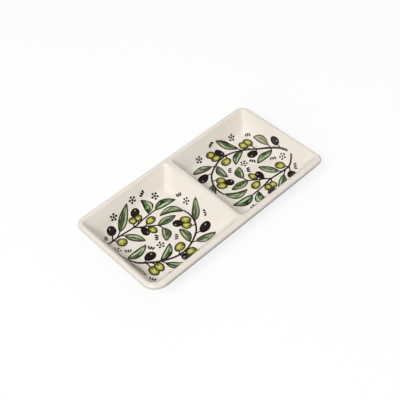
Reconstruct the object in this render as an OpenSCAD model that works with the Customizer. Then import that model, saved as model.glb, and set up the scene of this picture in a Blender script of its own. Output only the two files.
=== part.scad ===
// Olive dish with two square wells, moulded in one piece, glazed and painted.
// Millimetres. Z is up, X runs along the length, the feet stand on Z = 0.
// The left well lies at -X and the right well at +X.

/* [Overall size] */
// Outside length over the rim
dish_length = 200; // [170:1:240]
// Outside width over the rim
dish_width = 100; // [86:1:120]
// Height from the table to the crest of the rim
dish_height = 26; // [22:0.5:34]

/* [Moulded shell] */
// Thickness of the glazed wall and floor
wall_t = 5.2; // [4.4:0.1:6.4]
// Slope of the walls above level, degrees
wall_slope = 62; // [54:1:70]
// Radius where the walls run into the floor of a well
floor_fillet_r = 8; // [5:0.5:11]
// Corner radius along the crest of the rim
crest_corner_r = 6.5; // [5:0.5:10]
// Corner radius along the crest at the front left, where the dish is rounder
front_corner_r = 10.5; // [6:0.5:14]
// Corner radius inside the wells, below the rim
well_corner_r = 3.5; // [2.5:0.5:5]
// Radius at the top of the hollow under the divider
hollow_top_r = 3; // [2:0.25:4]

/* [Foot] */
// Height of the unglazed foot under each well
foot_h = 2; // [1.2:0.1:3]
// Width of the foot where it touches the table
foot_w = 4; // [2.5:0.25:6]
// Distance of the foot in from the edge of the level base
foot_set_in = 1; // [0.5:0.25:3]

/* [Glaze and paint] */
// Thickness of the fired glaze
glaze_t = 0.4; // [0.3:0.05:0.7]
// Thickness of the fired paint
paint_t = 0.15; // [0.1:0.05:0.3]
// Width of the painted stems
stem_w = 1.6; // [1:0.1:2]
// Leaf width against the drawn width
leaf_fullness = 1; // [0.7:0.05:1.1]
// Olive size against the drawn size
olive_fullness = 1; // [0.7:0.05:1]
// Radius of one painted dot
dot_r = 0.85; // [0.5:0.05:1]

/* [Hidden] */

clay_colour = [0.83, 0.70, 0.57];
glaze_colour = [0.97, 0.94, 0.88];
stem_colour = [0.20, 0.16, 0.13];
leaf_colour = [0.20, 0.42, 0.18];
green_olive_colour = [0.68, 0.67, 0.22];
black_olive_colour = [0.09, 0.07, 0.08];
mark_colour = [0.16, 0.14, 0.14];

corner_steps = 6;
arc_steps = 5;
crest_flat = 0.3;
cut = 1;

// The wall is a slab with a round top, so the rim is half a circle across.
rim_r = wall_t / 2;
rim_z = dish_height - rim_r;
floor_z = foot_h + wall_t;
fillet_z = floor_z + floor_fillet_r;
crest_hx = dish_length / 2 - rim_r;
crest_hy = dish_width / 2 - rim_r;
well_hx = crest_hx / 2;
well_hy = crest_hy;

// Distance in from the crest line at which the wall ends and the level floor starts.
wall_end_z = floor_z + floor_fillet_r * (1 - cos(wall_slope));
wall_start_in = rim_r * sin(wall_slope);
wall_start_z = rim_z + rim_r * cos(wall_slope);
wall_end_in = wall_start_in + (wall_start_z - wall_end_z) / tan(wall_slope);
floor_in = wall_end_in + floor_fillet_r * sin(wall_slope);

// One step of the painted pattern is a hundredth of the well's half length or half width.
step_x = well_hx / 100;
step_y = well_hy / 100;
step = min(step_x, step_y);

// A well is named "left" or "right".
function side(well) = well == "left" ? -1 : 1;
function front_radius(well) = well == "left" ? front_corner_r : crest_corner_r;

// Corner radius of a well at distance i in from the crest line, where it has radius r.
function well_corner(r, i) = max(r - i, min(r, well_corner_r));

// Outline of a rounded rectangle at height z, counter-clockwise from above.
// The front left corner has radius f and the others have radius r.
function ring(hx, hy, r, f, z) =
    [for (q = [0:3])
        for (k = [0:corner_steps])
            let (a = 90 * q + 90 * k / corner_steps,
                 c = (q == 2) ? f : r,
                 sx = (q == 0 || q == 3) ? 1 : -1,
                 sy = (q < 2) ? 1 : -1)
            [sx * (hx - c) + c * cos(a), sy * (hy - c) + c * sin(a), z]];

// Solid through a list of outlines, lowest first.
module loft(rings) {
    n = len(rings[0]);
    m = len(rings);
    sides = [for (j = [0:m - 2])
                for (i = [0:n - 1])
                    let (a = j * n + i,
                         b = j * n + (i + 1) % n)
                    each [[a, a + n, b], [b, a + n, b + n]]];
    bottom = [for (i = [0:n - 1]) i];
    top = [for (i = [n - 1:-1:0]) (m - 1) * n + i];
    polyhedron(points = [for (r = rings) each r], faces = concat([bottom], sides, [top]), convexity = 4);
}

// Space inside one well, with its surface set back into the wall by o.
module well_space(o, well) {
    fillet = [for (k = [0:arc_steps])
                let (a = wall_slope * k / arc_steps,
                     r = floor_fillet_r + o)
                [floor_in - r * sin(a), fillet_z - r * cos(a)]];
    a0 = asin(crest_flat / (rim_r - o));
    round_top = [for (k = [arc_steps:-1:0])
                    let (a = a0 + (wall_slope - a0) * k / arc_steps)
                    [(rim_r - o) * sin(a), rim_z + (rim_r - o) * cos(a)]];
    above = [[crest_flat, dish_height + cut]];
    loft([for (p = concat(fillet, round_top, above))
            ring(well_hx - p[0], well_hy - p[0],
                 well_corner(crest_corner_r, p[0]), well_corner(front_radius(well), p[0]), p[1])]);
}

// Outside of the shell without its wells, with its surface set in by o.
module outer_form(o) {
    bend = [for (k = [0:arc_steps])
                let (a = wall_slope * k / arc_steps,
                     r = floor_fillet_r + wall_t - o)
                [floor_in - r * sin(a), fillet_z - r * cos(a)]];
    tuck = 90 - wall_slope;
    lip = [for (a = [90 + tuck, 90 + tuck / 2, for (k = [arc_steps:-1:0]) 90 * k / arc_steps])
                [-(rim_r - o) * sin(a), rim_z + (rim_r - o) * cos(a)]];
    loft([for (p = concat(bend, lip))
            let (out = p[1] > rim_z ? -p[0] : rim_r - o)
            ring(crest_hx - p[0], crest_hy - p[0], crest_corner_r + out, front_corner_r + out, p[1])]);
}

// Hollow under the divider that keeps the clay there as thick as the walls.
module divider_hollow(o) {
    peak_z = rim_z - (rim_r - o) / cos(wall_slope);
    top_r = hollow_top_r + o;
    centre_z = peak_z - top_r / cos(wall_slope);
    end_hy = crest_hy - floor_in - 2 * foot_set_in + o;
    start = 90 - wall_slope;
    steps = 3;
    rise = [for (k = [0:steps])
                let (a = start + (85 - start) * k / steps)
                [top_r * cos(a), centre_z + top_r * sin(a)]];
    low = [[(peak_z - foot_h + cut) / tan(wall_slope), foot_h - cut]];
    loft([for (p = concat(low, rise))
            let (back = (p[1] - foot_h) / tan(wall_slope),
                 r = min(p[0] * 0.9, crest_corner_r))
            ring(p[0], end_hy - back, r, r, p[1])]);
}

module shell(o) {
    difference() {
        outer_form(o);
        for (well = ["left", "right"])
            translate([side(well) * well_hx, 0, 0])
                well_space(o, well);
        divider_hollow(o);
    }
}

// Square foot under each well, let into the base so that the glaze stops at it.
module feet(top_z) {
    for (well = ["left", "right"])
        translate([side(well) * well_hx, 0, 0])
            linear_extrude(height = top_z)
                difference() {
                    foot_outline(0, well);
                    foot_outline(foot_w, well);
                }
}

module foot_outline(inset, well) {
    hx = well_hx - floor_in - foot_set_in - inset;
    hy = well_hy - floor_in - foot_set_in - inset;
    r = max(crest_corner_r - inset, 1);
    f = max(front_radius(well) - inset, 1);
    polygon([for (p = ring(hx, hy, r, f, 0)) [p[0], p[1]]]);
}

// Distance in from the crest line at a point of the well's plan. The corners get tighter
// as far as well_corner_r and keep that radius from there down.
function well_in(x, y, well) =
    let (r = (x < 0 && y < 0) ? front_radius(well) : crest_corner_r,
         w = min(r, well_corner_r),
         u = abs(x) - well_hx + r,
         v = abs(y) - well_hy + r,
         d = abs(u - v),
         even = (u > 0 && v > 0) ? r - norm([u, v]) : r - max(u, v))
    even <= r - w ? even
    : d >= w ? r - max(u, v)
    : r - w + (sqrt(2 * w * w - d * d) - u - v) / 2;

// Steepness of the well's surface at that distance, degrees.
function steepness(i) =
    i >= floor_in ? 0
    : i >= wall_end_in ? asin((floor_in - i) / floor_fillet_r)
    : wall_slope;

// Height of the well's glazed surface at that distance.
function surface_z(i) =
    i >= floor_in ? floor_z
    : i >= wall_end_in ? fillet_z - floor_fillet_r * cos(steepness(i))
    : wall_start_z - (i - wall_start_in) * tan(wall_slope);

// Distance from the well's middle in plan, for a distance d along its level floor,
// round the fillet and up the wall.
function rolled(d, level) =
    let (beyond = abs(d) - level,
         bend = floor_fillet_r * wall_slope * PI / 180,
         turn = min(beyond / bend, 1) * wall_slope,
         up = max(beyond - bend, 0) * cos(wall_slope))
    beyond <= 0 ? d : sign(d) * (level + floor_fillet_r * sin(turn) + up);

// Point of the pattern laid on a well, raised square to the surface.
function laid(p, up, well) =
    let (q = p + (well == "right" ? right_drift : [0, 0]),
         x = rolled(q[0] * step_x, well_hx - floor_in),
         y = rolled(q[1] * step_y, well_hy - floor_in),
         i = well_in(x, y, well))
    [x, y, surface_z(i) + up / cos(steepness(i))];

function unit(v) = v / norm(v);
function left_of(v) = [-v[1], v[0]];

// Smooth curve through a list of points, at s from 0 to 1.
function through(pts, s) =
    let (spans = len(pts) - 1,
         j = min(floor(s * spans), spans - 1),
         t = s * spans - j,
         a = pts[max(j - 1, 0)],
         b = pts[j],
         c = pts[j + 1],
         d = pts[min(j + 2, spans)])
    b + (t * (c - a) + t * t * (2 * a - 5 * b + 4 * c - d) + t * t * t * (3 * b - a - 3 * c + d)) / 2;

// Film of paint over a net of rows, each row running from left to right.
module film(rows, well) {
    n = len(rows);
    m = len(rows[0]);
    half = n * m;
    net = [for (r = rows) each r];
    pts = concat([for (p = net) laid(p, paint_t, well)], [for (p = net) laid(p, 0, well)]);
    cells = [for (j = [0:n - 2])
                for (i = [0:m - 2])
                    let (a = j * m + i)
                    each [[a, a + m, a + 1], [a + 1, a + m, a + m + 1]]];
    under = [for (f = cells) [f[0] + half, f[2] + half, f[1] + half]];
    edge = concat([for (i = [0:m - 1]) i],
                  [for (j = [1:n - 1]) j * m + m - 1],
                  [for (i = [m - 2:-1:0]) (n - 1) * m + i],
                  [for (j = [n - 2:-1:1]) j * m]);
    border = [for (k = [0:len(edge) - 1])
                let (a = edge[k],
                     b = edge[(k + 1) % len(edge)])
                each [[a, b, b + half], [a, b + half, a + half]]];
    polyhedron(points = pts, faces = concat(cells, under, border), convexity = 4);
}

// Film of paint inside a closed outline, fanned from its middle.
module spot(middle, outline, well) {
    n = len(outline);
    half = n + 1;
    net = concat([middle], outline);
    pts = concat([for (p = net) laid(p, paint_t, well)], [for (p = net) laid(p, 0, well)]);
    faces = [for (i = [0:n - 1])
                let (a = 1 + i,
                     b = 1 + (i + 1) % n)
                each [[0, b, a], [half, a + half, b + half], [a, b, b + half], [a, b + half, a + half]]];
    polyhedron(points = pts, faces = faces, convexity = 4);
}

// Stroke along a curve, thinning from width w0 to width w1.
module stroke(pts, w0, w1, steps, well) {
    film([for (k = [0:steps])
            let (s = k / steps,
                 here = through(pts, s),
                 ahead = through(pts, min(s + 0.01, 1)) - through(pts, max(s - 0.01, 0)),
                 across = left_of(unit(ahead)) * (w0 + (w1 - w0) * s) / 2)
            [here + across, here - across]], well);
}

// Pattern of one well, in steps from its middle over the floor and the unrolled walls,
// as the left well has it. The right well has it turned half round and moved by its drift.
right_drift = [-4.5, -0.5];
stem_curves = [
    [[-92.5, 33], [-87.5, 14.5], [-78.5, -2], [-67, -18.5], [-41.5, -40.5], [-16.5, -53],
     [6, -55], [26, -49], [46, -37], [59, -20], [65, -0.5], [63.5, 11.5]],
    [[-91.5, 43], [-72.5, 50], [-56, 50.5], [-20.5, 47.5], [-0.5, 50], [28, 51]],
    [[-22.5, 47], [-15.5, 40], [-5.5, 33], [3.5, 25.5], [10, 19.5], [11.5, 9.5]]];

// Short stalks between a stem and an olive or leaf: start, end.
stalks = [
    [[-69, 50.5], [-62, 59.5]], [[-58, 51], [-48.5, 56.5]], [[-66.5, 50], [-64.5, 47]],
    [[-22.5, 48], [-20, 52]], [[-12.5, 49], [-8.5, 53.5]], [[-8.5, 35], [-4, 36]],
    [[-4.5, 32.5], [-4.5, 27]], [[-51, 50], [-48, 46.5]], [[56, -25], [52.5, -23.5]],
    [[42, -40.5], [50.5, -43]], [[25, -49.5], [31.5, -53]], [[-6, -54], [-4, -50.5]],
    [[-8.5, -54], [-6.5, -57.5]], [[-58.5, -27], [-59, -37.5]], [[-52.5, -31.5], [-49.5, -41]],
    [[-38.5, -43], [-36, -50]], [[-61, -25], [-57, -23.5]], [[-88.5, 16], [-91.5, 10]],
    [[-78, -3], [-80, -9.5]], [[-78, -1.5], [-76, -0.5]]];

// Leaves: base x, base y, tip x, tip y, width, bow to the left of the way it grows.
leaves = [
    [-47, 57.5, -5, 96.5, 15.5, 0], [16, 53, 22, 85, 18, -8], [29.5, 51, 70.5, 43, 16, 5.5],
    [-46.5, 45.5, -27.5, 10, 15, 0.5], [12, 20, 46, 14.5, 15, 1], [12, 8.5, -3.5, -16.5, 15, 2],
    [63, 12.5, 26, 34.5, 13.5, -8], [63.5, -19, 99, 6.5, 14, 2], [24, -47, 29.5, -13.5, 15, -3],
    [32.5, -54, 70, -64, 15.5, -1.5], [-36, -40.5, -3, -24.5, 14.5, -5],
    [-36, -51.5, -9, -93.5, 15, -2], [-75, 0.5, -33.5, 2.5, 14.5, -3.5],
    [-80.5, -11, -76, -49, 15, -4]];

// Olives: middle x, middle y, turn in degrees, length, width.
green_olives = [
    [-16.5, 61, 80, 16.5, 13.5], [-2.5, 58.5, 60, 13, 12], [-59, 37, -60, 19.5, 17],
    [7.5, 38.5, 10, 20, 15.5], [-4.5, 17.5, 82, 17, 12.5], [52.5, -4, -60, 19.5, 14.5],
    [44, -17.5, -40, 18, 14.5], [4, -43, 8, 21.5, 16], [12, -63.5, -8, 20, 13],
    [14.5, -77.5, -15, 19.5, 12.5], [-62, -49, 90, 21, 15.5], [-46.5, -51.5, 90, 19, 14]];
black_olives = [
    [-56, 70, 60, 20.5, 17], [-1.5, 73.5, 20, 19, 14], [-16.5, 25.5, 80, 19.5, 13],
    [35, -1, -40, 18, 15], [64.5, -42.5, 15, 25.5, 16], [-45, -21.5, -2, 22, 16.5],
    [-4, -69, 105, 19.5, 14], [-94.5, -1, 85, 20.5, 15]];

// Flowers of six dots, and groups of three short strokes with their turn.
dot_flowers = [
    [-39.5, 89], [7, 95], [49, 75.5], [81, 22.5], [-16, -16], [-76.5, 27.5], [40, -81.5],
    [-44, -80]];
tick_groups = [
    [29, 94.5, 20], [81.5, 42.5, -40], [85.5, -24, 50], [15, -22.5, 45], [-32, -9, -60],
    [-10, 1.5, 55], [-63.5, 14.5, -37], [-74, 61, 45], [-73.5, -61.5, -55], [3.5, -94, 20]];
flower_steps = 5.5;
flower_turn = 18;
tick_pitch_steps = 3.6;
tick_length_steps = 6.3;
tick_fan = 18;

module stems(well) {
    for (c = stem_curves)
        stroke(c, stem_w / step, 0.8 * stem_w / step, 2 * len(c) - 2, well);
    for (s = stalks)
        stroke(s, 0.7 * stem_w / step, 0.7 * stem_w / step, 1, well);
}

module leaf_set(well) {
    steps = 5;
    tip_w = 0.2;
    for (l = leaves) {
        base = [l[0], l[1]];
        tip = [l[2], l[3]];
        side = left_of(unit(tip - base));
        film([for (k = [0:steps])
                let (s = k / steps,
                     mid = base + (tip - base) * s + side * l[5] * 4 * s * (1 - s),
                     w = tip_w + l[4] * leaf_fullness / 2 * sin(180 * pow(s, 0.9)))
                [mid + side * w, mid, mid - side * w]], well);
    }
}

module olive_set(rows, well) {
    steps = 10;
    for (o = rows)
        spot([o[0], o[1]],
             [for (k = [0:steps - 1])
                let (a = 360 * k / steps,
                     u = o[3] * olive_fullness / 2 * cos(a),
                     v = o[4] * olive_fullness / 2 * sin(a))
                [o[0] + u * cos(o[2]) - v * sin(o[2]), o[1] + u * sin(o[2]) + v * cos(o[2])]], well);
}

module marks(well) {
    dot_steps = 5;
    for (f = dot_flowers)
        for (k = [0:5]) {
            a = 72 * k + flower_turn;
            at = f + (k == 0 ? [0, 0] : flower_steps * [cos(a), sin(a)]);
            spot(at, [for (j = [0:dot_steps - 1])
                        let (b = 360 * j / dot_steps)
                        at + dot_r / step * [cos(b), sin(b)]], well);
        }
    for (g = tick_groups)
        for (k = [-1:1]) {
            along = [cos(g[2]), sin(g[2])];
            mid = [g[0], g[1]] + along * tick_pitch_steps * k;
            a = g[2] + 90 - tick_fan * k;
            way = [cos(a), sin(a)] * tick_length_steps / 2;
            stroke([mid - way, mid + way], 1.2 * dot_r / step, 0.7 * dot_r / step, 1, well);
        }
}

// Place of one well's pattern in the dish.
module in_well(well) {
    translate([side(well) * well_hx, 0, 0])
        rotate([0, 0, well == "right" ? 180 : 0])
            children();
}

module clay_body() {
    color(clay_colour) {
        shell(glaze_t);
        feet(foot_h + glaze_t + cut);
    }
}

module glaze_coat() {
    color(glaze_colour)
        difference() {
            shell(0);
            shell(glaze_t);
            feet(foot_h + glaze_t + cut);
        }
}

module left_stems() {
    color(stem_colour)
        in_well("left")
            stems("left");
}

module left_leaves() {
    color(leaf_colour)
        in_well("left")
            leaf_set("left");
}

module left_green_olives() {
    color(green_olive_colour)
        in_well("left")
            olive_set(green_olives, "left");
}

module left_black_olives() {
    color(black_olive_colour)
        in_well("left")
            olive_set(black_olives, "left");
}

module left_marks() {
    color(mark_colour)
        in_well("left")
            marks("left");
}

module right_stems() {
    color(stem_colour)
        in_well("right")
            stems("right");
}

module right_leaves() {
    color(leaf_colour)
        in_well("right")
            leaf_set("right");
}

module right_green_olives() {
    color(green_olive_colour)
        in_well("right")
            olive_set(green_olives, "right");
}

module right_black_olives() {
    color(black_olive_colour)
        in_well("right")
            olive_set(black_olives, "right");
}

module right_marks() {
    color(mark_colour)
        in_well("right")
            marks("right");
}

clay_body();
glaze_coat();
left_stems();
left_leaves();
left_green_olives();
left_black_olives();
left_marks();
right_stems();
right_leaves();
right_green_olives();
right_black_olives();
right_marks();
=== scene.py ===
import math
import random

import bmesh
import bpy
from mathutils import Matrix, Vector


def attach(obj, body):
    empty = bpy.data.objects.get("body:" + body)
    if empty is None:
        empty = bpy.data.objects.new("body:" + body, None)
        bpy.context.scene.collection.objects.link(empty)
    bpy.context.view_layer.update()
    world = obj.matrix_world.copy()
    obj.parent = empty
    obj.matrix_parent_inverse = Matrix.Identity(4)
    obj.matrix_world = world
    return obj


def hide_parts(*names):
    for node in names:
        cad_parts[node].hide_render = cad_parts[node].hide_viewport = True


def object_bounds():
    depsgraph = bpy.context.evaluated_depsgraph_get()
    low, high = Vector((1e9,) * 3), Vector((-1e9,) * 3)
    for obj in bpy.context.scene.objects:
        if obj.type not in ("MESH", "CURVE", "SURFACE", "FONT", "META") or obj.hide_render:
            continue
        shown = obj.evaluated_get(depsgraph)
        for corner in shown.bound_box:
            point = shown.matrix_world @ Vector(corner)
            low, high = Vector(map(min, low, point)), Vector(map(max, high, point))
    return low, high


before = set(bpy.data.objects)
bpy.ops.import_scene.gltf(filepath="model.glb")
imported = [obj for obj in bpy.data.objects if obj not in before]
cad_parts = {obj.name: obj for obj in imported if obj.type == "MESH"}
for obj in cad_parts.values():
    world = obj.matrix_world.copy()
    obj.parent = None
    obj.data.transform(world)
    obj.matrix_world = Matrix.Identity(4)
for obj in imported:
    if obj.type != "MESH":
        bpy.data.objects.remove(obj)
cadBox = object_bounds()
print("frame loaded with", len(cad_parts), "nodes")

scene = bpy.context.scene
mm = 0.001
wells = {-1: "left", 1: "right"}  # the side that each well lies on

# the moulded shell, with the outside taken from the frame
shell = {
    "halfLength": (cadBox[1].x - cadBox[0].x) / 2,
    "halfWidth": (cadBox[1].y - cadBox[0].y) / 2,
    "height": cadBox[1].z,
    "wall": 5.2 * mm,
    "slope": math.radians(62),
    "fillet": 8 * mm,
    "crestCorner": 6.5 * mm,
    "frontLeft": 10.5 * mm,  # the front left corner is rounder than the others
    "frontRight": 4.2 * mm,  # and the front right one tighter
    "wellCorner": 3.5 * mm,
    "frontStrip": 1.3 * mm,  # how much wider the rim is along the front
    "dividerStrip": 0.75 * mm,  # and the divider towards the right well
    "dividerLean": 1.05 * mm,  # there it gets wider towards the back, along a bow
    "dividerBow": 1.15 * mm,
    "hollowTop": 3 * mm,  # radius of the hollow under the divider
    "hollowTurn": math.radians(85),  # how far round its top goes before it is closed flat
    "hollowCorner": 0.9,  # its corners, as a share of its half width
    "footHeight": 2 * mm,
    "footWidth": 4 * mm,
    "footSetIn": 1 * mm,
    "footCorner": 1 * mm,  # the tightest that a foot's corner gets
    "footEdge": 0.5 * mm,
    "footEdgeBend": 0.3,  # how far the middle of its rounded edge is set in, as a share
    "glaze": 0.4 * mm,
    "crestFlat": 0.1 * mm,
    "cornerSegments": 14,
    "arcSegments": 12,
    "mergeWithin": 1e-7,  # points as near as this are one
    "levelWithin": 1e-6,  # and a face as near as this to a height lies at it
}

slope = shell["slope"]
rimRadius = shell["wall"] / 2
rimZ = shell["height"] - rimRadius
floorZ = shell["footHeight"] + shell["wall"]
filletZ = floorZ + shell["fillet"]
crestX = shell["halfLength"] - rimRadius
crestY = shell["halfWidth"] - rimRadius
wellX = crestX / 2  # half length of a well at the crest, and the place of its middle
wellY = crestY
wallStartIn = rimRadius * math.sin(slope)
wallStartZ = rimZ + rimRadius * math.cos(slope)
wallEndZ = floorZ + shell["fillet"] * (1 - math.cos(slope))
wallEndIn = wallStartIn + (wallStartZ - wallEndZ) / math.tan(slope)
floorIn = wallEndIn + shell["fillet"] * math.sin(slope)


def arc(start, end, steps):
    return [start + (end - start) * k / steps for k in range(steps + 1)]


# a ring is the outline of a rounded rectangle: middle x, middle y, half length, half width, height,
# and the corner radii at the back, front left and front right
def cornerOf(ring, sideX, sideY):
    return ring[5] if sideY > 0 else ring[6] if sideX < 0 else ring[7]


def makeRing(bm, ring):
    middleX, middleY, halfX, halfY, z = ring[:5]
    sheet = bmesh.ops.create_grid(bm, x_segments=1, y_segments=1, size=1)["verts"]
    corners = [(v, cornerOf(ring, v.co.x, v.co.y)) for v in sheet]
    for v in sheet:
        v.co = Vector((middleX + v.co.x * halfX, middleY + v.co.y * halfY, z))
    for v, radius in corners:
        rounded = bmesh.ops.bevel(bm, geom=[v], offset=radius, offset_type="OFFSET", affect="VERTICES",
                                  segments=shell["cornerSegments"], profile=0.5, material=-1)
    face = max((f for v in rounded["verts"] for f in v.link_faces), key=lambda f: len(f.verts))
    edges = list(face.edges)
    bmesh.ops.delete(bm, geom=[face], context="FACES_ONLY")
    return edges


def pullRing(bm, edges, old, new):
    made = bmesh.ops.extrude_edge_only(bm, edges=edges)["geom"]
    middleX, middleY, oldX, oldY = old[:4]
    newX, newY, z = new[2:5]
    for v in (g for g in made if isinstance(g, bmesh.types.BMVert)):
        sideX = math.copysign(1, v.co.x - middleX)
        sideY = math.copysign(1, v.co.y - middleY)
        oldRadius, newRadius = cornerOf(old, sideX, sideY), cornerOf(new, sideX, sideY)
        grow = newRadius / oldRadius
        fromCornerX = v.co.x - middleX - sideX * (oldX - oldRadius)
        fromCornerY = v.co.y - middleY - sideY * (oldY - oldRadius)
        v.co.x = middleX + sideX * (newX - newRadius) + fromCornerX * grow
        v.co.y = middleY + sideY * (newY - newRadius) + fromCornerY * grow
        v.co.z = z
    return [g for g in made if isinstance(g, bmesh.types.BMEdge) and g.is_boundary]


def pullThrough(bm, edges, rings):
    for old, new in zip(rings, rings[1:]):
        edges = pullRing(bm, edges, old, new)
    return edges


def fillFlat(bm, *loops):
    edges = [e for loop in loops for e in loop]
    bmesh.ops.triangle_fill(bm, use_beauty=True, use_dissolve=False, edges=edges)


# crest radii of a well's corners at the back, front left and front right
def wellCorners(side):
    plain = shell["crestCorner"]
    return (plain, shell["frontLeft"], plain) if side < 0 else (plain, plain, shell["frontRight"])


# how far a well's crest lies from the pattern's middle at the left, right, front and back
def crestOf(side):
    left = wellX if side < 0 else wellX - shell["dividerStrip"]
    return left, wellX, wellY - shell["frontStrip"], wellY


# the right well is shorter towards the back, between its middle and the divider: the share that is left
def leaning(y):
    across = y / wellY
    return 1 - (shell["dividerLean"] * across + shell["dividerBow"] * across ** 2) / wellX


# the corners of a well get tighter from the crest in, as far as wellCorner
def cornerAt(radius, inset):
    return max(radius - inset, shell["wellCorner"])


def wellRings(side, setBack):
    rimArc = rimRadius - setBack
    bendArc = shell["fillet"] + setBack
    start = math.asin(shell["crestFlat"] / rimArc)
    steps = [(rimArc * math.sin(a), rimZ + rimArc * math.cos(a))
             for a in arc(start, slope, shell["arcSegments"])]
    steps[0] = (steps[0][0], rimZ + rimArc)
    steps += [(floorIn - bendArc * math.sin(a), filletZ - bendArc * math.cos(a))
              for a in arc(slope, 0, shell["arcSegments"])]
    left, right, front, back = crestOf(side)
    middleX, middleY = side * wellX + (right - left) / 2, (back - front) / 2
    halfX, halfY = (left + right) / 2, (front + back) / 2
    return [(middleX, middleY, halfX - i, halfY - i, z, *(cornerAt(r, i) for r in wellCorners(side)))
            for i, z in steps]


def outsideRings(setBack):
    rimArc = rimRadius - setBack
    bendArc = shell["fillet"] + shell["wall"] - setBack
    steps = [(rimArc * math.sin(a), rimZ + rimArc * math.cos(a), rimArc * math.sin(min(a, math.pi / 2)))
             for a in arc(0, math.pi - slope, 2 * shell["arcSegments"])]
    steps += [(bendArc * math.sin(a) - floorIn, filletZ - bendArc * math.cos(a), rimArc)
              for a in arc(slope, 0, shell["arcSegments"])]
    corners = shell["crestCorner"], shell["frontLeft"], shell["frontRight"]
    return [(0, 0, crestX + out, crestY + out, z, *(r + wider for r in corners)) for out, z, wider in steps]


def hollowRings(setBack):
    topArc = shell["hollowTop"] + setBack
    peakZ = rimZ - (rimRadius - setBack) / math.cos(slope)
    middleZ = peakZ - topArc / math.cos(slope)
    baseZ = shell["footHeight"] + setBack
    endY = crestY - floorIn - 2 * shell["footSetIn"] + setBack
    steps = [((peakZ - baseZ) / math.tan(slope), baseZ)]
    steps += [(topArc * math.cos(a), middleZ + topArc * math.sin(a))
              for a in arc(math.pi / 2 - slope, shell["hollowTurn"], shell["arcSegments"])]
    rings = []
    for halfX, z in steps:
        halfY = endY - (z - shell["footHeight"]) / math.tan(slope)
        corner = min(halfX * shell["hollowCorner"], shell["crestCorner"])
        rings.append((0, 0, halfX, halfY, z, corner, corner, corner))
    return rings


def footRing(side, inset, z):
    halfX = wellX - floorIn - shell["footSetIn"] - inset
    halfY = wellY - floorIn - shell["footSetIn"] - inset
    corners = (max(r - inset, shell["footCorner"]) for r in wellCorners(side))
    return (side * wellX, 0, halfX, halfY, z, *corners)


# all of the shell's skin except the feet, whose outlines stay open
def makeSkin(bm, setBack):
    outside = outsideRings(setBack)
    hollow = hollowRings(setBack)
    baseZ = shell["footHeight"] + setBack
    crest = makeRing(bm, outside[0])
    mouths = []
    for side in wells:
        rings = wellRings(side, setBack)
        others = set(bm.verts)
        mouth = makeRing(bm, rings[0])
        mouths.append(mouth)
        fillFlat(bm, pullThrough(bm, mouth, rings))
        for v in set(bm.verts) - others:
            if 0 < v.co.x < wellX:
                v.co.x = wellX - (wellX - v.co.x) * leaning(v.co.y)
    fillFlat(bm, crest, *mouths)
    base = pullThrough(bm, crest, outside)
    trench = makeRing(bm, hollow[0])
    fillFlat(bm, pullThrough(bm, trench, hollow))
    feet = [makeRing(bm, footRing(side, 0, baseZ)) for side in wells]
    fillFlat(bm, base, trench, *feet)
    return feet


def faceOutwards(bm):
    bmesh.ops.remove_doubles(bm, verts=bm.verts, dist=shell["mergeWithin"])
    bmesh.ops.recalc_face_normals(bm, faces=bm.faces)


def makePiece(name, bm, node):
    mesh = bpy.data.meshes.new(name)
    bm.to_mesh(mesh)
    bm.free()
    mesh.shade_smooth()
    piece = bpy.data.objects.new(name, mesh)
    scene.collection.objects.link(piece)
    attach(piece, "root")
    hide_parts(node)
    return piece


# fired clay: the shell set back by the glaze, and two square feet
clay = bmesh.new()
feet = makeSkin(clay, shell["glaze"])
footTop = shell["footHeight"] + shell["glaze"]
edge, width = shell["footEdge"], shell["footWidth"]
bend = shell["footEdgeBend"] * edge
footSection = [(0, footTop), (0, edge), (bend, bend), (edge, 0),
               (width - edge, 0), (width - bend, bend), (width, edge), (width, footTop)]
for side, foot in zip(wells, feet):
    fillFlat(clay, pullThrough(clay, foot, [footRing(side, inset, z) for inset, z in footSection]))
faceOutwards(clay)
clayBody = makePiece("clayBody", clay, "clay_body")
print("clay body made")

# fired glaze: the same skin at the outside, thickened inwards, with a patch inside each foot
coat = bmesh.new()
makeSkin(coat, 0)
faceOutwards(coat)
for side in wells:
    fillFlat(coat, makeRing(coat, footRing(side, shell["footWidth"], shell["footHeight"])))
for f in coat.faces:
    level = abs(f.calc_center_median().z - shell["footHeight"]) < shell["levelWithin"]
    if level and f.normal.z > 0:
        f.normal_flip()
glazeCoat = makePiece("glazeCoat", coat, "glaze_coat")
thicken = glazeCoat.modifiers.new("glazeThickness", "SOLIDIFY")
thicken.thickness = shell["glaze"]
thicken.offset = -1
glazeCoat.modifiers.new("evenShading", "WEIGHTED_NORMAL")  # keeps the flat parts flat at their edges
print("glaze coat made")


# the surface of a well under a point of its plan, as the left well lies;
# the right well is that turned half round
def crestFrom(side, x, y):
    left, right, front, back = crestOf(side)
    return left if x * side > 0 else right, front if y * side > 0 else back


def insetAt(side, x, y):
    back, left, right = wellCorners(side)
    corner = back if y * side < 0 else left if x * side > 0 else right
    tight = shell["wellCorner"]
    if side > 0 and x > 0:
        x /= leaning(-y)
    reachX, reachY = crestFrom(side, x, y)
    u = abs(x) - reachX + corner
    v = abs(y) - reachY + corner
    even = corner - (math.hypot(u, v) if min(u, v) > 0 else max(u, v))
    if even <= corner - tight:
        return even
    if abs(u - v) >= tight:
        return corner - max(u, v)
    return corner - tight + (math.sqrt(2 * tight ** 2 - (u - v) ** 2) - u - v) / 2


def heightAt(side, x, y):
    inset = insetAt(side, x, y)
    if inset >= floorIn:
        return floorZ
    if inset >= wallEndIn:
        return filletZ - math.sqrt(shell["fillet"] ** 2 - (floorIn - inset) ** 2)
    return wallStartZ - (inset - wallStartIn) * math.tan(slope)


def riseAt(side, x, y):
    d = 0.02 * mm
    return Vector(((heightAt(side, x + d, y) - heightAt(side, x - d, y)) / (2 * d),
                   (heightAt(side, x, y + d) - heightAt(side, x, y - d)) / (2 * d)))


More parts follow.
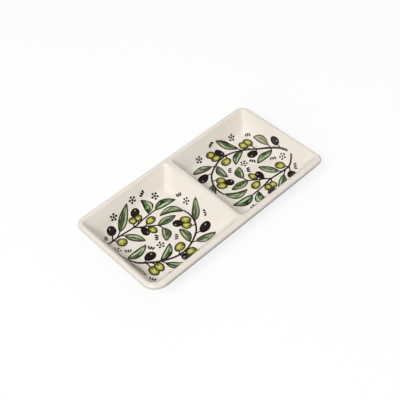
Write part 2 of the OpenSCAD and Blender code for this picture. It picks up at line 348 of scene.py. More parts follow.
# distance from the well's middle in plan, for a distance along its level floor and up its wall
def rolledUp(distance, level):
    beyond = abs(distance) - level
    if beyond <= 0:
        return distance
    bend = shell["fillet"] * slope
    if beyond < bend:
        level += shell["fillet"] * math.sin(beyond / shell["fillet"])
    else:
        level += shell["fillet"] * math.sin(slope) + (beyond - bend) * math.cos(slope)
    return math.copysign(level, distance)


# painted pattern of one well, drawn flat over its floor and unrolled walls,
# in hundredths of the well's half length and half width
pattern = {
    "rightDrift": (-4.5, -0.5),
    "fadeFrom": -76,  # the paint runs thin towards the left
    "fadeTo": -98,
    # start width and end width in millimetres, then the way
    "stems": [
        (2.15, 1.35, [(-92.5, 33), (-87.5, 14.5), (-78.5, -2), (-67, -18.5), (-41.5, -40.5), (-16.5, -53),
                      (6, -55.5), (26, -50), (47, -38), (60, -20.5), (65, -2), (64, 13)]),
        (1.95, 1.25, [(-91.5, 43), (-72.5, 50), (-56, 50.5), (-20.5, 47.5), (-0.5, 50), (29.5, 51)]),
        (1.45, 1.15, [(-22.5, 47), (-15.5, 40), (-5.5, 33), (3.5, 25.5), (10, 19.5), (11.5, 9.5)])],
    "stalks": [
        [(-69, 50.5), (-61, 61)], [(-58, 51), (-46.5, 58)], [(-66.5, 50), (-62, 42.5)],
        [(-22.5, 48), (-18.5, 54.5)], [(-12.5, 49), (-7.5, 54.5)], [(-16.5, 41.5), (-15, 35)],
        [(-8.5, 35), (0.5, 37.5)], [(-4.5, 32.5), (-4.5, 27)], [(10, 19.5), (13, 20)],
        [(-51, 50), (-46, 44.5)], [(15.5, 51), (16.5, 54.5)], [(56, -26), (48, -22)],
        [(42, -41), (53, -43.5)], [(60.5, -19.5), (64.5, -18)], [(24, -50.5), (24.5, -44.5)],
        [(25, -50), (34, -55)], [(-6, -54), (-2, -46.5)], [(3, -55), (5, -60.5)],
        [(-8.5, -54), (-5, -61.5)], [(-58.5, -27), (-59.5, -41)], [(-52.5, -31.5), (-49.5, -41)],
        [(-39.5, -41.5), (-35.5, -40.5)], [(-38.5, -43), (-35, -52.5)], [(-61, -25), (-53.5, -22)],
        [(-88.5, 16), (-92, 9)], [(-78, -3), (-80.5, -11.5)], [(-78, -1.5), (-73, 0.5)]],
    # base x, base y, tip x, tip y, width, bow to the left, place of the pale stroke from right to left,
    # and how thin the paint is
    "leaves": [
        (-47, 57.5, -5.5, 96, 16.5, -2, -0.4, 0.1), (16, 53, 22, 85, 18, -8.5, -0.45, 0),
        (29, 51, 71, 43, 17.5, 6, -0.4, 0), (-46.5, 45.5, -28, 10, 15, 0.5, 0.35, 0.15),
        (9.5, 20.5, 46.5, 15, 15, 0.5, 0.4, 0.1), (12.5, 9.5, -3, -16.5, 16.5, 3.5, -0.4, 0.2),
        (63.5, 12.5, 25.5, 34.5, 15.5, -9.5, -0.3, 0.1), (62.5, -18, 99, 6.5, 16.5, 2, -0.3, 0.2),
        (24.5, -47, 30, -13, 15.5, -3, 0.35, 0.2), (32, -54, 69.5, -64.5, 15, -2, -0.4, 0.25),
        (-37.5, -41.5, -3, -24.5, 14.5, -5, 0.4, 0), (-36, -51.5, -9, -94, 15, -2, 0.4, 0.1),
        (-75.5, 1, -33.5, 2.5, 15.5, -3.5, 0.35, 0.15), (-80.5, -11, -76, -49, 15, -4, 0.3, 1)],
    # middle x, middle y, turn in degrees, length, width
    "greenOlives": [
        (-15, 60.5, 80, 17.5, 15), (-4, 58.5, 60, 16, 14.5), (-59, 37, -60, 20.5, 18),
        (7.5, 38.5, 10, 21.5, 16.5), (-3.5, 19.5, 95, 20.5, 14.5), (51.5, -5.5, -60, 21, 17),
        (44.5, -16, -40, 19, 17), (4, -43, 8, 23, 17.5), (11, -64, -8, 21.5, 16),
        (14.5, -76, -15, 20.5, 14), (-60, -49.5, 90, 22.5, 17.5), (-48.5, -50, 90, 21.5, 16.5)],
    "blackOlives": [
        (-56.5, 69, 60, 21, 17.5), (-1, 71.5, 20, 20, 15.5), (-15, 26.5, 260, 21.5, 14.5),
        (36.5, -1.5, 140, 19, 16), (64, -42.5, 15, 27, 17.5), (-45, -21.5, -2, 23, 17.5),
        (-2, -68, 105, 21, 16), (-94.5, -1, 85, 21.5, 16)],
    # middle x, middle y, turn in degrees, and how hard the brush is pressed
    "flowers": [
        (-39, 88.5, -4, 1.03), (7, 95, 26, 1.02), (49, 75.5, 34, 1), (81, 22.5, 13, 0.9),
        (-16, -16, -3, 0.89), (-77, 28, 26, 0.82), (40.5, -81.5, 27, 1), (-44, -80, 30, 0.98)],
    "ticks": [
        (29, 94, 35, 1.13), (81.5, 42.5, -40, 1.03), (85.5, -24, 50, 0.9), (15, -22.5, 45, 0.9),
        (-32, -9, -60, 1), (-10, 1.5, 55, 1.02), (-63.5, 14.5, -37, 0.85), (-75, 61.5, 45, 0.87),
        (-74, -62, -55, 0.87), (4, -93.5, 25, 1.15)],
}
stepX = wellX / 100
stepY = wellY / 100
step = min(stepX, stepY)
paintSunk = 0.02 * mm  # how far a coat of paint reaches into the glaze


# smooth curve through a list of points, at s from 0 to 1
def through(points, s):
    spans = len(points) - 1
    j = min(int(s * spans), spans - 1)
    t = s * spans - j
    a, b, c, d = (points[k] for k in (max(j - 1, 0), j, j + 1, min(j + 2, spans)))
    return b + (t * (c - a) + t * t * (2 * a - 5 * b + 4 * c - d) + t ** 3 * (3 * b - a - 3 * c + d)) / 2


def turned(angle):
    return Vector((math.cos(angle), math.sin(angle)))


def leftOf(ahead):
    return Vector((-ahead.y, ahead.x)).normalized()


# a point of a square, moved to its place on the disc inside it
def onDisc(a, b):
    return a * math.sqrt(1 - b * b / 2), b * math.sqrt(1 - a * a / 2)


# a coat of paint in one well: sheets laid on the glaze, each with its brush map, a tone of its own,
# the distance from its edge in millimetres, the place of its pale stroke and how thin the paint is
def startCoat(side, seed):
    bm = bmesh.new()
    coat = {"side": side, "bm": bm, "dice": random.Random(seed), "brush": bm.loops.layers.uv.new("brush")}
    for name in ("tone", "edge", "pale", "thin"):
        coat[name] = bm.verts.layers.float.new(name)
    return coat


def spot(coat, x, y):
    driftX, driftY = pattern["rightDrift"] if coat["side"] > 0 else (0, 0)
    return Vector(((x + driftX) * stepX, (y + driftY) * stepY))


def fade(at):
    past = (at.x / stepX - pattern["fadeFrom"]) / (pattern["fadeTo"] - pattern["fadeFrom"])
    return min(max(past, 0), 1)


def laySheet(coat, along, across, place, lift=0.0, pale=0.0, thin=0.0):
    sheet = bmesh.ops.create_grid(coat["bm"], x_segments=along, y_segments=across, size=1)["verts"]
    side = coat["side"]
    tone = coat["dice"].random()
    for v in sheet:
        at, brush, edge = place(v.co.x, v.co.y)
        for corner in v.link_loops:
            corner[coat["brush"]].uv = (brush[0] / 2 + 0.5, brush[1] / 2 + 0.5)
        v[coat["tone"]] = tone
        v[coat["edge"]] = edge / mm
        v[coat["pale"]] = pale
        v[coat["thin"]] = max(thin, fade(at))
        reachX, reachY = crestFrom(side, at.x, at.y)
        x, y = rolledUp(at.x, reachX - floorIn), rolledUp(at.y, reachY - floorIn)
        rise = riseAt(side, x, y)
        outwards = Vector((-rise.x, -rise.y, 1)).normalized()
        laid = Vector((x, y, heightAt(side, x, y))) + outwards * (lift - paintSunk)
        v.co = Vector((side * (wellX - laid.x), -side * laid.y, laid.z))


stemLine = {
    "stalkStart": 1.25 * mm,
    "stalkEnd": 1.0 * mm,
    "coat": 0.10 * mm,  # how thick the paint lies
    "seed": 11,
    "segmentsPerPoint": 14,
    "stalkSegments": 6,
    "across": 4,
    "lookAhead": 0.01,  # how far before and after a point its direction is read
}


def layStroke(coat, points, startWidth, endWidth, segments):
    points = [spot(coat, *p) for p in points]
    ahead = stemLine["lookAhead"]

    def place(a, b):
        s = (a + 1) / 2
        left = leftOf(through(points, min(s + ahead, 1)) - through(points, max(s - ahead, 0)))
        half = (startWidth + (endWidth - startWidth) * s) / 2
        return through(points, s) + left * half * b, (a, b), half * (1 - abs(b))

    laySheet(coat, segments, stemLine["across"], place)


leafForm = {
    "leastHalf": 0.22 * mm,  # half width at the very base and tip
    "belly": 0.9,  # under 1 it is widest nearer to the base
    "fullness": 0.75,  # under 1 its sides are fuller
    "waver": 0.04,  # how much its width wavers, and how fast along it
    "waverRate": 7,
    "waverStart": 6,  # the most that the wavering is shifted along it
    "coat": 0.12 * mm,
    "seed": 12,
    "segments": (32, 10),
}


def layLeaf(coat, row):
    base, tip = spot(coat, *row[:2]), spot(coat, *row[2:4])
    width, bow, pale, thin = row[4] * step, row[5] * step, row[6], row[7]
    left = leftOf(tip - base)
    start = coat["dice"].uniform(0, leafForm["waverStart"])

    def place(a, b):
        s = (a + 1) / 2
        swell = math.sin(math.pi * min(s ** leafForm["belly"], 1)) ** leafForm["fullness"]
        waver = 1 + leafForm["waver"] * math.sin(leafForm["waverRate"] * s + start + b)
        half = leafForm["leastHalf"] + width / 2 * swell * waver
        at = base + (tip - base) * s + left * (bow * 4 * s * (1 - s) + half * b)
        return at, (a, b), half * (1 - abs(b))

    laySheet(coat, *leafForm["segments"], place, pale=pale, thin=thin)


# olives lie over the stems and leaves, and the green ones over the black
olive = {
    "taper": 0.09,  # it is slimmer at its stalk
    "blackCoat": 0.14 * mm,
    "greenCoat": 0.17 * mm,
    "overlap": 0.03 * mm,  # every other green olive lies over its neighbour
    "greenSeed": 13,
    "blackSeed": 14,
    "segments": (18, 18),
}


def layOlive(coat, row, lift):
    middle = spot(coat, *row[:2])
    length, width = row[3] * step, row[4] * step
    ahead = turned(math.radians(row[2]))

    def place(a, b):
        u, v = onDisc(a, b)
        slim = 1 + olive["taper"] * u
        at = middle + ahead * u * length / 2 + leftOf(ahead) * v * slim * width / 2
        return at, (u, v), (1 - math.hypot(u, v)) * width / 2

    laySheet(coat, *olive["segments"], place, lift)


# flowers of dots, and ticks of three strokes
mark = {
    "petals": 5,
    "dotRadius": 1.1 * mm,
    "flowerRadius": 2.6 * mm,
    "tickPitch": 2.0 * mm,
    "tickLength": 3.5 * mm,
    "tickWidth": 1.55 * mm,
    "tickFan": math.radians(22),
    "tickLean": 0.15,  # the most that a stroke leans by chance
    "tickSwell": 0.2,  # how much wider it ends than its middle
    "tickLeast": 0.05,  # keeps its ends from closing to a point
    "coat": 0.10 * mm,
    "seed": 15,
    "dotSegments": (6, 6),
    "tickSegments": (6, 3),
}


def layDot(coat, middle, radius):
    def place(a, b):
        u, v = onDisc(a, b)
        return middle + Vector((u, v)) * radius, (u, v), (1 - math.hypot(u, v)) * radius

    laySheet(coat, *mark["dotSegments"], place)


def layTick(coat, middle, ahead, length, width):
    def place(a, b):
        half = width / 2 * (1 + mark["tickSwell"] * a) * math.sqrt(max(1 - a ** 4, mark["tickLeast"]))
        return middle + ahead * a * length / 2 + leftOf(ahead) * half * b, (a, b), half * (1 - abs(b))

    laySheet(coat, *mark["tickSegments"], place)


def finishCoat(coat, name, node, thickness, material):
    piece = makePiece(name, coat["bm"], node)
    body = piece.modifiers.new("paintThickness", "SOLIDIFY")
    body.thickness = thickness
    body.offset = 1
    piece.data.materials.append(material)


# short ways to add a node with its inputs, and the sums that the materials use
def addNode(tree, kind, inputs=None, **settings):
    made = tree.nodes.new(kind)
    for key, value in settings.items():
        setattr(made, key, value)
    for key, value in (inputs or {}).items():
        if isinstance(value, bpy.types.NodeSocket):
            tree.links.new(value, made.inputs[key])
        else:
            made.inputs[key].default_value = value
    return made


def calc(tree, operation, a, b=0.0, c=0.0, clamp=False):
    made = addNode(tree, "ShaderNodeMath", {0: a, 1: b, 2: c}, operation=operation, use_clamp=clamp)
    return made.outputs[0]


def times(tree, a, b):
    return calc(tree, "MULTIPLY", a, b)


# from 0 at start to 1 at end, whichever of the two is larger
def mask(tree, value, start, end):
    return addNode(tree, "ShaderNodeMapRange", {"Value": value, "From Min": start, "From Max": end},
                   interpolation_type="SMOOTHSTEP").outputs[0]


def blend(tree, factor, a, b):
    return addNode(tree, "ShaderNodeMix", {0: factor, 6: a, 7: b}, data_type="RGBA").outputs[2]


def noise(tree, vector, scale, detail=2.0):
    made = addNode(tree, "ShaderNodeTexNoise", {"Vector": vector, "Scale": scale, "Detail": detail})
    return made.outputs[0]


def placeOn(tree):
    return addNode(tree, "ShaderNodeTexCoord").outputs["Object"]


def heightOf(tree, place):
    return addNode(tree, "ShaderNodeSeparateXYZ", {0: place}).outputs[2]


def fromCoat(tree, name):
    return addNode(tree, "ShaderNodeAttribute", attribute_name=name).outputs["Fac"]


# a colour as a screen has it, from 0 to 255, made linear
def colour(red, green, blue):
    linear = [((c / 255 + 0.055) / 1.055) ** 2.4 if c > 10 else c / 255 / 12.92 for c in (red, green, blue)]
    return (*linear, 1)


def newGroup(name, inputs, outputs):
    group = bpy.data.node_groups.new(name, "ShaderNodeTree")
    for socket in inputs:
        group.interface.new_socket(socket, in_out="INPUT", socket_type="NodeSocketFloat")
    for socket in outputs:
        kind = "NodeSocketVector" if socket == "Normal" else "NodeSocketFloat"
        group.interface.new_socket(socket, in_out="OUTPUT", socket_type=kind)
    return group, group.nodes.new("NodeGroupInput").outputs, group.nodes.new("NodeGroupOutput").inputs


# fired gloss: slow ripples and a fine peel in the surface, a little uneven in its shine
surface = {
    "rippleScale": 45,
    "rippleHeight": 0.5 * mm,
    "peelScale": 900,
    "peelHeight": 0.03 * mm,
    "unevenScale": 120,
    "uneven": 0.12,
}
gloss, given, result = newGroup("firedGloss", ["Shine", "Ripple", "Peel"], ["Roughness", "Normal"])
place = placeOn(gloss)
waves = addNode(gloss, "ShaderNodeBump", {"Strength": given["Ripple"], "Distance": surface["rippleHeight"],
                                          "Height": noise(gloss, place, surface["rippleScale"], 1)})
skin = addNode(gloss, "ShaderNodeBump", {"Strength": given["Peel"], "Distance": surface["peelHeight"],
                                         "Height": noise(gloss, place, surface["peelScale"]),
                                         "Normal": waves.outputs[0]})
uneven = calc(gloss, "SUBTRACT", noise(gloss, place, surface["unevenScale"], 3), 0.5)
shine = calc(gloss, "MULTIPLY_ADD", uneven, surface["uneven"], given["Shine"], clamp=True)
gloss.links.new(shine, result["Roughness"])
gloss.links.new(skin.outputs[0], result["Normal"])

# brush: the place along and across a motif, the wavering distance from its edge, and streaks along it
bristles = {
    "apart": 50,  # keeps the noise of one motif apart from the next
    "shakeScale": 3,
    "streakScale": 1.2,
    "hairShift": (3, 5, 7),
}
brush, given, result = newGroup("brushStroke", ["Streaks", "Waver"],
                                ["Along", "Across", "Edge", "Streak", "Hair"])
brushMap = addNode(brush, "ShaderNodeUVMap", uv_map="brush").outputs[0]
parts = addNode(brush, "ShaderNodeSeparateXYZ", {0: brushMap})
along = calc(brush, "MULTIPLY_ADD", parts.outputs[0], 2, -1)
across = calc(brush, "MULTIPLY_ADD", parts.outputs[1], 2, -1)
apart = times(brush, fromCoat(brush, "tone"), bristles["apart"])
seat = addNode(brush, "ShaderNodeCombineXYZ", {0: along, 1: across, 2: apart}).outputs[0]
shake = calc(brush, "SUBTRACT", noise(brush, seat, bristles["shakeScale"]), 0.5)
shake = times(brush, shake, given["Waver"])
drawnOut = times(brush, across, given["Streaks"])
runs = addNode(brush, "ShaderNodeCombineXYZ", {0: along, 1: drawnOut, 2: apart}).outputs[0]
hairs = addNode(brush, "ShaderNodeVectorMath", {0: runs, 1: bristles["hairShift"]}, operation="ADD")
brushOutputs = {
    "Along": along,
    "Across": calc(brush, "ADD", across, shake),
    "Edge": calc(brush, "ADD", fromCoat(brush, "edge"), shake),
    "Streak": noise(brush, runs, bristles["streakScale"], 3),
    "Hair": noise(brush, hairs.outputs[0], bristles["streakScale"], 1),
}
for name, socket in brushOutputs.items():
    brush.links.new(socket, result[name])


def newMaterial(name):
    material = bpy.data.materials.new(name)
    material.use_nodes = True
    tree = material.node_tree
    return material, tree, tree.nodes["Principled BSDF"]


firedFinish = {"Shine": 0.16, "Ripple": 0.3, "Peel": 0.1}  # glaze and paint are fired together
paintSpecular = 0.2


def fireGloss(tree, shader, finish):
    skin = addNode(tree, "ShaderNodeGroup", node_tree=gloss)
    for key, value in finish.items():
        skin.inputs[key].default_value = value
    tree.links.new(skin.outputs["Roughness"], shader.inputs["Roughness"])
    tree.links.new(skin.outputs["Normal"], shader.inputs["Normal"])


def startPaint(name, paint):
    material, tree, shader = newMaterial(name)
    stroke = addNode(tree, "ShaderNodeGroup", node_tree=brush)
    stroke.inputs["Streaks"].default_value = paint["streaks"]
    stroke.inputs["Waver"].default_value = paint["waver"]
    fireGloss(tree, shader, firedFinish)
    shader.inputs["Specular IOR Level"].default_value = paintSpecular
    return material, tree, shader, stroke.outputs


# ivory glaze: mottled, warmer where it runs thin over the rim, with a few iron specks
ivory = {
    "body": colour(249, 242, 233),
    "mottle": colour(245, 236, 225),
    "thin": colour(238, 226, 212),
    "speck": colour(150, 120, 90),
    "mottleScale": 55,
    "mottleFrom": (0.35, 0.75),
    "thinScale": 160,
    "thinFrom": (0.1, 0.6),
    "thinShare": 0.2,
    "speckScale": 260.0,
    "speckSize": (0.09, 0.04),
    "speckRare": 0.94,  # the share of places without a speck
    "speckShare": 0.5,
}
ivoryGlaze, tree, shader = newMaterial("ivoryGlaze")
place = placeOn(tree)
mottled = mask(tree, noise(tree, place, ivory["mottleScale"], 3), *ivory["mottleFrom"])
tint = blend(tree, mottled, ivory["body"], ivory["mottle"])
patchy = mask(tree, noise(tree, place, ivory["thinScale"], 3), *ivory["thinFrom"])
thin = times(tree, mask(tree, heightOf(tree, place), rimZ, shell["height"]), patchy)
tint = blend(tree, times(tree, thin, ivory["thinShare"]), tint, ivory["thin"])
cells = addNode(tree, "ShaderNodeTexVoronoi", {"Vector": place, "Scale": ivory["speckScale"]})
pick = addNode(tree, "ShaderNodeSeparateColor", {0: cells.outputs["Color"]}).outputs[0]
rare = calc(tree, "GREATER_THAN", pick, ivory["speckRare"])
speck = times(tree, mask(tree, cells.outputs["Distance"], *ivory["speckSize"]), rare)
tint = blend(tree, times(tree, speck, ivory["speckShare"]), tint, ivory["speck"])
tree.links.new(tint, shader.inputs["Base Color"])
fireGloss(tree, shader, firedFinish)
glazeCoat.data.materials.append(ivoryGlaze)

# bare fired clay: sandy grain and a little table wear
bisque = {
    "body": colour(214, 186, 152),
    "sand": colour(186, 154, 120),
    "grime": colour(150, 126, 104),
    "grainScale": 1400,
    "grainFrom": (0.4, 0.7),
    "grainHeight": 0.1 * mm,
    "grainStrength": 0.5,
    "wearScale": 220,
    "wearFrom": (0.4, 0.65),
    "wearHeight": 0.9 * mm,
    "wearShare": 0.6,
    "roughness": 0.88,
}
bareClay, tree, shader = newMaterial("bareClay")
place = placeOn(tree)
grain = noise(tree, place, bisque["grainScale"], 4)
tint = blend(tree, mask(tree, grain, *bisque["grainFrom"]), bisque["body"], bisque["sand"])
patchy = mask(tree, noise(tree, place, bisque["wearScale"], 4), *bisque["wearFrom"])
worn = times(tree, mask(tree, heightOf(tree, place), bisque["wearHeight"], 0), patchy)
tint = blend(tree, times(tree, worn, bisque["wearShare"]), tint, bisque["grime"])
tree.links.new(tint, shader.inputs["Base Color"])
rough = addNode(tree, "ShaderNodeBump", {"Strength": bisque["grainStrength"],
                                         "Distance": bisque["grainHeight"], "Height": grain})
tree.links.new(rough.outputs[0], shader.inputs["Normal"])
shader.inputs["Roughness"].default_value = bisque["roughness"]
clayBody.data.materials.append(bareClay)

# stems: brown with darker drawn edges; widths of lines are in millimetres from a motif's edge
wood = {
    "core": colour(132, 110, 97),
    "edge": colour(38, 29, 26),
    "thin": colour(128, 112, 100),
    "streaks": 3,
    "waver": 0.3,
    "edgeLine": (1.0, 0.72),
    "thinShare": 0.5,
}
stemPaint, tree, shader, stroke = startPaint("stemPaint", wood)
drawn = mask(tree, stroke["Edge"], *wood["edgeLine"])
tint = blend(tree, drawn, wood["core"], wood["edge"])
tint = blend(tree, times(tree, fromCoat(tree, "thin"), wood["thinShare"]), tint, wood["thin"])
tree.links.new(tint, shader.inputs["Base Color"])

# leaves: dark outline, tip and base, mid green, a pale stroke to one side, deep green away from it,
# and a drawn rib; places run from -1 to 1 along a leaf and across it
leafGreen = {
    "deep": colour(29, 55, 20),
    "mid": colour(90, 121, 66),
    "pale": colour(192, 210, 168),
    "wash": colour(190, 187, 154),
    "outline": colour(34, 27, 18),
    "thinOutline": colour(96, 82, 60),
    "streaks": 2.6,
    "waver": 0.3,
    "unrest": 1.1,  # how far the streaks push the strokes aside
    "deepFrom": (0.4, 0.85),
    "paleWidth": (0.4, 0.1),
    "paleReach": (0.9, 0.4),
    "paleHair": (0.55, 0.7),
    "deepHair": (0.48, 0.34),
    "deepHairShare": 0.9,
    "washShare": 0.7,
    "ribWidth": (0.2, 0.06),
    "ribReach": (0.6, -0.2),
    "ribShare": 0.85,
    "tip": (0.74, 0.88),
    "base": (-0.86, -0.96),
    "outlineWidth": (1.4, 0.8),
}
leafPaint, tree, shader, stroke = startPaint("leafPaint", leafGreen)
thin = fromCoat(tree, "thin")
unrest = calc(tree, "SUBTRACT", stroke["Streak"], 0.5)
off = calc(tree, "MULTIPLY_ADD", unrest, leafGreen["unrest"], stroke["Across"])
away = calc(tree, "ABSOLUTE", calc(tree, "SUBTRACT", off, fromCoat(tree, "pale")))
tint = blend(tree, mask(tree, away, *leafGreen["deepFrom"]), leafGreen["mid"], leafGreen["deep"])
reach = mask(tree, calc(tree, "ABSOLUTE", stroke["Along"]), *leafGreen["paleReach"])
pale = times(tree, mask(tree, away, *leafGreen["paleWidth"]), reach)
tint = blend(tree, pale, tint, leafGreen["pale"])
paleHair = times(tree, mask(tree, stroke["Hair"], *leafGreen["paleHair"]), reach)
tint = blend(tree, paleHair, tint, leafGreen["pale"])
deepHair = times(tree, mask(tree, stroke["Hair"], *leafGreen["deepHair"]), leafGreen["deepHairShare"])
tint = blend(tree, deepHair, tint, leafGreen["deep"])
tint = blend(tree, times(tree, thin, leafGreen["washShare"]), tint, leafGreen["wash"])
rib = times(tree, mask(tree, calc(tree, "ABSOLUTE", off), *leafGreen["ribWidth"]),
            mask(tree, stroke["Along"], *leafGreen["ribReach"]))
tint = blend(tree, times(tree, rib, leafGreen["ribShare"]), tint, leafGreen["deep"])
ends = calc(tree, "MAXIMUM", mask(tree, stroke["Along"], *leafGreen["tip"]),
            mask(tree, stroke["Along"], *leafGreen["base"]))
drawn = calc(tree, "MAXIMUM", mask(tree, stroke["Edge"], *leafGreen["outlineWidth"]), ends)
line = blend(tree, thin, leafGreen["outline"], leafGreen["thinOutline"])
tree.links.new(blend(tree, drawn, tint, line), shader.inputs["Base Color"])


# distance on an olive's round brush map from a point of it
def discFrom(tree, stroke, point):
    u = calc(tree, "SUBTRACT", stroke["Along"], point[0])
    v = calc(tree, "SUBTRACT", stroke["Across"], point[1])
    return calc(tree, "SQRT", calc(tree, "MULTIPLY_ADD", u, u, times(tree, v, v)))


# green olives: lighter in streaks and in the middle, shaded towards the outline, with a dark eye
greenSkin = {
    "body": colour(175, 171, 66),
    "light": colour(212, 210, 132),
    "shade": colour(116, 108, 30),
    "outline": colour(36, 28, 14),
    "streaks": 3,
    "waver": 0.2,
    "lightStreak": (0.45, 0.75),
    "lightAt": (-0.1, 0.12),
    "lightSize": (0.5, 0.15),
    "shadeWidth": (2.1, 0.9),
    "eyeAt": (0.5, -0.12),
    "eyeSize": (0.2, 0.12),
    "outlineWidth": (1.0, 0.65),
}
greenPaint, tree, shader, stroke = startPaint("greenOlivePaint", greenSkin)
streaky = mask(tree, stroke["Streak"], *greenSkin["lightStreak"])
tint = blend(tree, streaky, greenSkin["body"], greenSkin["light"])
bright = mask(tree, discFrom(tree, stroke, greenSkin["lightAt"]), *greenSkin["lightSize"])
tint = blend(tree, bright, tint, greenSkin["light"])
tint = blend(tree, mask(tree, stroke["Edge"], *greenSkin["shadeWidth"]), tint, greenSkin["shade"])
eye = mask(tree, discFrom(tree, stroke, greenSkin["eyeAt"]), *greenSkin["eyeSize"])
drawn = calc(tree, "MAXIMUM", eye, mask(tree, stroke["Edge"], *greenSkin["outlineWidth"]))
tree.links.new(blend(tree, drawn, tint, greenSkin["outline"]), shader.inputs["Base Color"])

# black olives: darker at the edge, washed out where the paint runs thin, with a bare glint
blackSkin = {
    "body": colour(35, 27, 25),
    "edge": colour(20, 16, 14),
    "glint": colour(206, 198, 194),
    "thin": colour(64, 55, 54),
    "streaks": 3,
    "waver": 0.15,
    "edgeWidth": (1.6, 0.5),
    "thinFrom": (0.5, 1.2),
    "glintAt": (0.42, 0.3),
    "glintSize": (0.2, 0.04),
}
blackPaint, tree, shader, stroke = startPaint("blackOlivePaint", blackSkin)
edge = mask(tree, stroke["Edge"], *blackSkin["edgeWidth"])
tint = blend(tree, edge, blackSkin["body"], blackSkin["edge"])
thin = times(tree, fromCoat(tree, "thin"), mask(tree, stroke["Edge"], *blackSkin["thinFrom"]))
tint = blend(tree, thin, tint, blackSkin["thin"])
glint = mask(tree, discFrom(tree, stroke, blackSkin["glintAt"]), *blackSkin["glintSize"])
tree.links.new(blend(tree, glint, tint, blackSkin["glint"]), shader.inputs["Base Color"])

# dots and ticks: ink with a few worn streaks
ink = {
    "body": colour(24, 18, 18),
    "worn": colour(58, 50, 48),
    "streaks": 3,
    "waver": 0.2,
    "wornStreak": (0.55, 0.8),
}
markPaint, tree, shader, stroke = startPaint("markPaint", ink)
tint = blend(tree, mask(tree, stroke["Streak"], *ink["wornStreak"]), ink["body"], ink["worn"])
tree.links.new(tint, shader.inputs["Base Color"])
print("materials made")

# five coats of paint in each well
for side, well in wells.items():
    stems = startCoat(side, stemLine["seed"])
    for start, end, points in pattern["stems"]:
        layStroke(stems, points, start * mm, end * mm, stemLine["segmentsPerPoint"] * len(points))
    for points in pattern["stalks"]:
        layStroke(stems, points, stemLine["stalkStart"], stemLine["stalkEnd"], stemLine["stalkSegments"])
    finishCoat(stems, well + "Stems", well + "_stems", stemLine["coat"], stemPaint)

    leaves = startCoat(side, leafForm["seed"])
    for row in pattern["leaves"]:
        layLeaf(leaves, row)
    finishCoat(leaves, well + "Leaves", well + "_leaves", leafForm["coat"], leafPaint)

    blacks = startCoat(side, olive["blackSeed"])
    for row in pattern["blackOlives"]:
        layOlive(blacks, row, 0)
    finishCoat(blacks, well + "BlackOlives", well + "_black_olives",
               olive["blackCoat"], blackPaint)

    greens = startCoat(side, olive["greenSeed"])
    for k, row in enumerate(pattern["greenOlives"]):
        layOlive(greens, row, k % 2 * olive["overlap"])
    finishCoat(greens, well + "GreenOlives", well + "_green_olives",
               olive["greenCoat"], greenPaint)

    marks = startCoat(side, mark["seed"])
    for x, y, turn, press in pattern["flowers"]:
        middle = spot(marks, x, y)
        radius = mark["dotRadius"] * press
        layDot(marks, middle, radius)
        for k in range(mark["petals"]):
            angle = math.radians(360 / mark["petals"] * k + turn)
            layDot(marks, middle + turned(angle) * mark["flowerRadius"], radius)
    for x, y, turn, press in pattern["ticks"]:
        middle = spot(marks, x, y)
        row = math.radians(turn)
        for k in (-1, 0, 1):
            lean = marks["dice"].uniform(-mark["tickLean"], mark["tickLean"])
            ahead = turned(row + math.pi / 2 - k * mark["tickFan"] + lean)
            layTick(marks, middle + turned(row) * k * mark["tickPitch"], ahead, mark["tickLength"],
                    mark["tickWidth"] * press)
    finishCoat(marks, well + "Marks", well + "_marks", mark["coat"], markPaint)
print("pattern painted")

# pale floor that keeps the shadow, and a pale world round it
white = (1, 1, 1, 1)
studio = {
    "floorSize": 30.0,
    "floorColour": (0.2, 0.2, 0.2, 1),
    "floorRoughness": 0.9,
    "floorLift": 0.82,
    "glossyShare": 0.2,  # how much of it shows in reflections
    "worldColour": (1, 0.97, 0.93, 1),
    "worldStrength": 0.25,
}


# what the camera sees straight or through glass, and a share of what it sees in reflections
def inView(tree):
    path = addNode(tree, "ShaderNodeLightPath").outputs
    direct = calc(tree, "MAXIMUM", path["Is Camera Ray"], path["Is Transmission Ray"])
    return calc(tree, "MAXIMUM", direct, times(tree, path["Is Glossy Ray"], studio["glossyShare"]))


ground = bmesh.new()
bmesh.ops.create_grid(ground, x_segments=1, y_segments=1, size=studio["floorSize"])
floorMesh = bpy.data.meshes.new("floor")
ground.to_mesh(floorMesh)
ground.free()
floor = bpy.data.objects.new("floor", floorMesh)
scene.collection.objects.link(floor)
floorPaint, tree, shader = newMaterial("floorPaint")
shader.inputs["Base Color"].default_value = studio["floorColour"]
shader.inputs["Roughness"].default_value = studio["floorRoughness"]
shader.inputs["Specular IOR Level"].default_value = 0.0
shader.inputs["Emission Color"].default_value = white
tree.links.new(times(tree, inView(tree), studio["floorLift"]), shader.inputs["Emission Strength"])
floor.data.materials.append(floorPaint)

world = bpy.data.worlds.new("studio")
scene.world = world
world.use_nodes = True
tree = world.node_tree
sky = tree.nodes["Background"].inputs
seen = inView(tree)
tree.links.new(blend(tree, seen, studio["worldColour"], white), sky["Color"])
tree.links.new(calc(tree, "MAXIMUM", seen, studio["worldStrength"]), sky["Strength"])

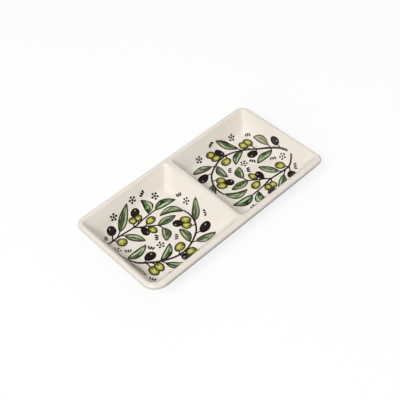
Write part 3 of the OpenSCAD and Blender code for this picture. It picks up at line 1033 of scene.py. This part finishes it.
# soft boxes: a weak one overhead, the key over the left end, a strip beside it,
# and two to fill the far sides
lamps = {
    "overhead": {"at": (0, 0, 2.0), "size": (1.8, 1.8), "power": 3.0},
    "key": {"at": (-1.24, -0.4, 1.55), "size": (0.6, 0.6), "power": 21.7},
    "strip": {"at": (-1.5, -0.6, 0.9), "size": (0.6, 1.0), "power": 5.2},
    "right": {"at": (1.4, -0.6, 1.2), "size": (0.8, 0.8), "power": 4.8},
    "rear": {"at": (0.8, 1.5, 1.0), "size": (0.8, 0.8), "power": 2.4},
}
for name, lamp in lamps.items():
    light = bpy.data.lights.new(name, "AREA")
    light.shape = "RECTANGLE"
    light.size, light.size_y = lamp["size"]
    light.energy = lamp["power"]
    holder = bpy.data.objects.new(name, light)
    scene.collection.objects.link(holder)
    holder.location = lamp["at"]
    holder.rotation_euler = (-Vector(lamp["at"])).to_track_quat("-Z", "Y").to_euler()

# the camera stands over the near left corner and looks at the middle of the rim, a little to one side
view = {
    "azimuth": math.radians(-41.43),
    "elevation": math.radians(48.97),
    "roll": math.radians(-3.22),
    "distance": 651.4 * mm,
    "slideRight": -2.73 * mm,
    "slideUp": -7.70 * mm,
    "focalPixels": 765.1,
    "framePixels": 400,
    "sensor": 36,
}
cameraData = bpy.data.cameras.new("camera")
camera = bpy.data.objects.new("camera", cameraData)
scene.collection.objects.link(camera)
scene.camera = camera
cameraData.sensor_width = view["sensor"]
cameraData.lens = view["focalPixels"] / view["framePixels"] * view["sensor"]
az, el, roll = view["azimuth"], view["elevation"], view["roll"]
back = Vector((math.sin(az) * math.cos(el), -math.cos(az) * math.cos(el), math.sin(el)))
right = Vector((math.cos(az), math.sin(az), 0))
up = back.cross(right)
stand = back * view["distance"] + right * view["slideRight"] + up * view["slideUp"] + Vector((0, 0, rimZ))
tiltedRight = right * math.cos(roll) + up * math.sin(roll)
tiltedUp = up * math.cos(roll) - right * math.sin(roll)
turn = Matrix((tiltedRight, tiltedUp, back)).transposed().to_4x4()
camera.matrix_world = Matrix.Translation(stand) @ turn

scene.view_settings.view_transform = "Standard"
print("stage, light and camera set")
